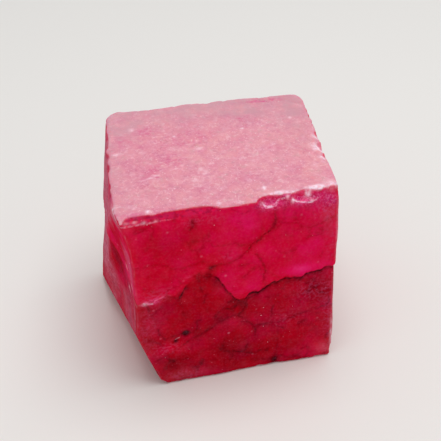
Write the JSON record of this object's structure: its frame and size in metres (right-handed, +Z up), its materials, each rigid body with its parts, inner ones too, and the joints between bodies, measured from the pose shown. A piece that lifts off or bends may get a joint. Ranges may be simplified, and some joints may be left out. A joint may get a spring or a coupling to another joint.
{
  "type": "ruby cube",
  "caption": "Rough-sawn cube of translucent ruby with a slanted spall at one lower corner, chipped rims and one fracture running round it.",
  "frame": {"origin": "middle of the bounding box on the sawn base that the stone rests on", "axes": "-Y is the front, the upright face with the slanted lower left corner; +X is the right side; +Z is up, out of the sawn top"},
  "size_m": [0.034, 0.0306, 0.0301],
  "materials": {
    "ruby": "sawn and fractured, satin"
  },
  "bodies": {
    "root": {"ruby_cube": "ruby"}
  },
  "joints": []
}
